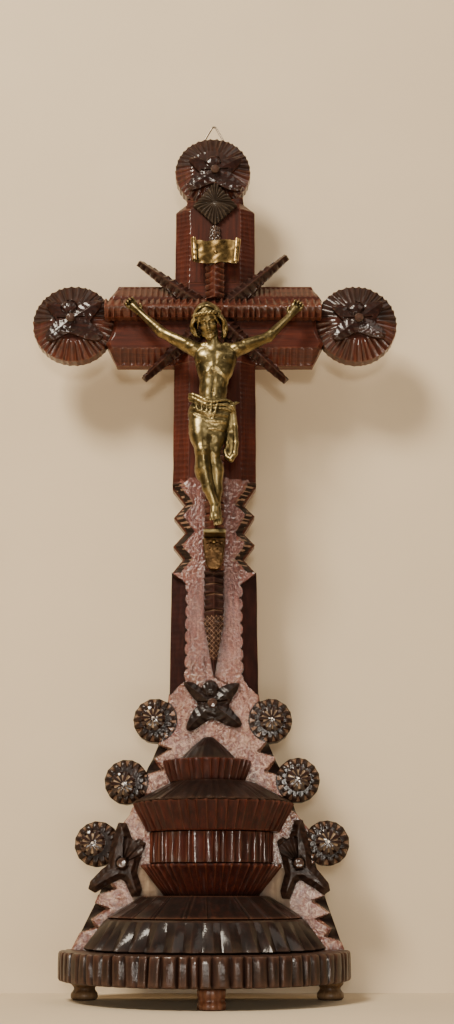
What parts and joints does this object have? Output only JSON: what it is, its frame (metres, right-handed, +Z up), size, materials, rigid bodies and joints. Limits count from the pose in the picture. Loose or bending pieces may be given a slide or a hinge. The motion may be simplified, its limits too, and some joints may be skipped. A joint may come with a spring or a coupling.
{
  "type": "altar cross",
  "caption": "Chip-carved mahogany altar cross on a half-round stepped pedestal, with a cast brass corpus, blank title plaque and wire hanging loop.",
  "frame": {"origin": "middle of the underside of the bounding box, on the plane the three feet stand on", "axes": "+Z up, front of the cross toward -Y, +X to the right of someone facing it"},
  "size_m": [0.2172, 0.0904, 0.5185],
  "materials": {
    "mahogany": "varnished",
    "dark_wood": "varnished",
    "red_wood": "varnished",
    "light_wood": "satin",
    "brass": "aged",
    "steel": "dull"
  },
  "bodies": {
    "cross": {"base_slab": "dark_wood", "foot_front": "light_wood", "foot_rear_left": "light_wood", "foot_rear_right": "light_wood", "foot_screws": "steel", "slab_screws": "steel", "upright_board": "mahogany", "cross_arm": "mahogany", "disc_top": "mahogany", "disc_left": "mahogany", "disc_right": "mahogany", "disc_dowels": "light_wood", "star_top": "dark_wood", "star_left": "dark_wood", "star_right": "dark_wood", "star_board": "dark_wood", "star_flank_left": "dark_wood", "star_flank_right": "dark_wood", "star_pegs": "mahogany", "keystone": "dark_wood", "keystone_pin": "steel", "ray_upper_left": "dark_wood", "ray_upper_right": "dark_wood", "ray_lower_left": "dark_wood", "ray_lower_right": "dark_wood", "inner_bar": "red_wood", "inner_upright": "red_wood", "inner_brads": "steel", "title_plaque": "brass", "corpus": "brass", "foot_ledge": "brass", "foot_plate": "brass", "brass_nails": "brass", "pedestal_cap": "dark_wood", "pedestal_small_cup": "mahogany", "pedestal_shoulder": "mahogany", "pedestal_upper_cup": "red_wood", "pedestal_band": "red_wood", "pedestal_lower_cup": "red_wood", "pedestal_upper_step": "dark_wood", "pedestal_lower_step": "dark_wood", "pedestal_screws": "steel", "rosette_top_left": "dark_wood", "rosette_top_right": "dark_wood", "rosette_middle_left": "dark_wood", "rosette_middle_right": "dark_wood", "rosette_low_left": "dark_wood", "rosette_low_right": "dark_wood", "rosette_pins": "steel", "hanger_strap": "brass", "hanger_screws": "steel"},
    "loop": {"hanger_loop": "steel"}
  },
  "joints": [
    {"name": "loop_hinge", "type": "hinge", "parent": "cross", "child": "loop", "pos_m": [-0.001, 0.0436, 0.4965], "axis": [-1, 0, 0], "range_deg": [0, 175]}
  ]
}
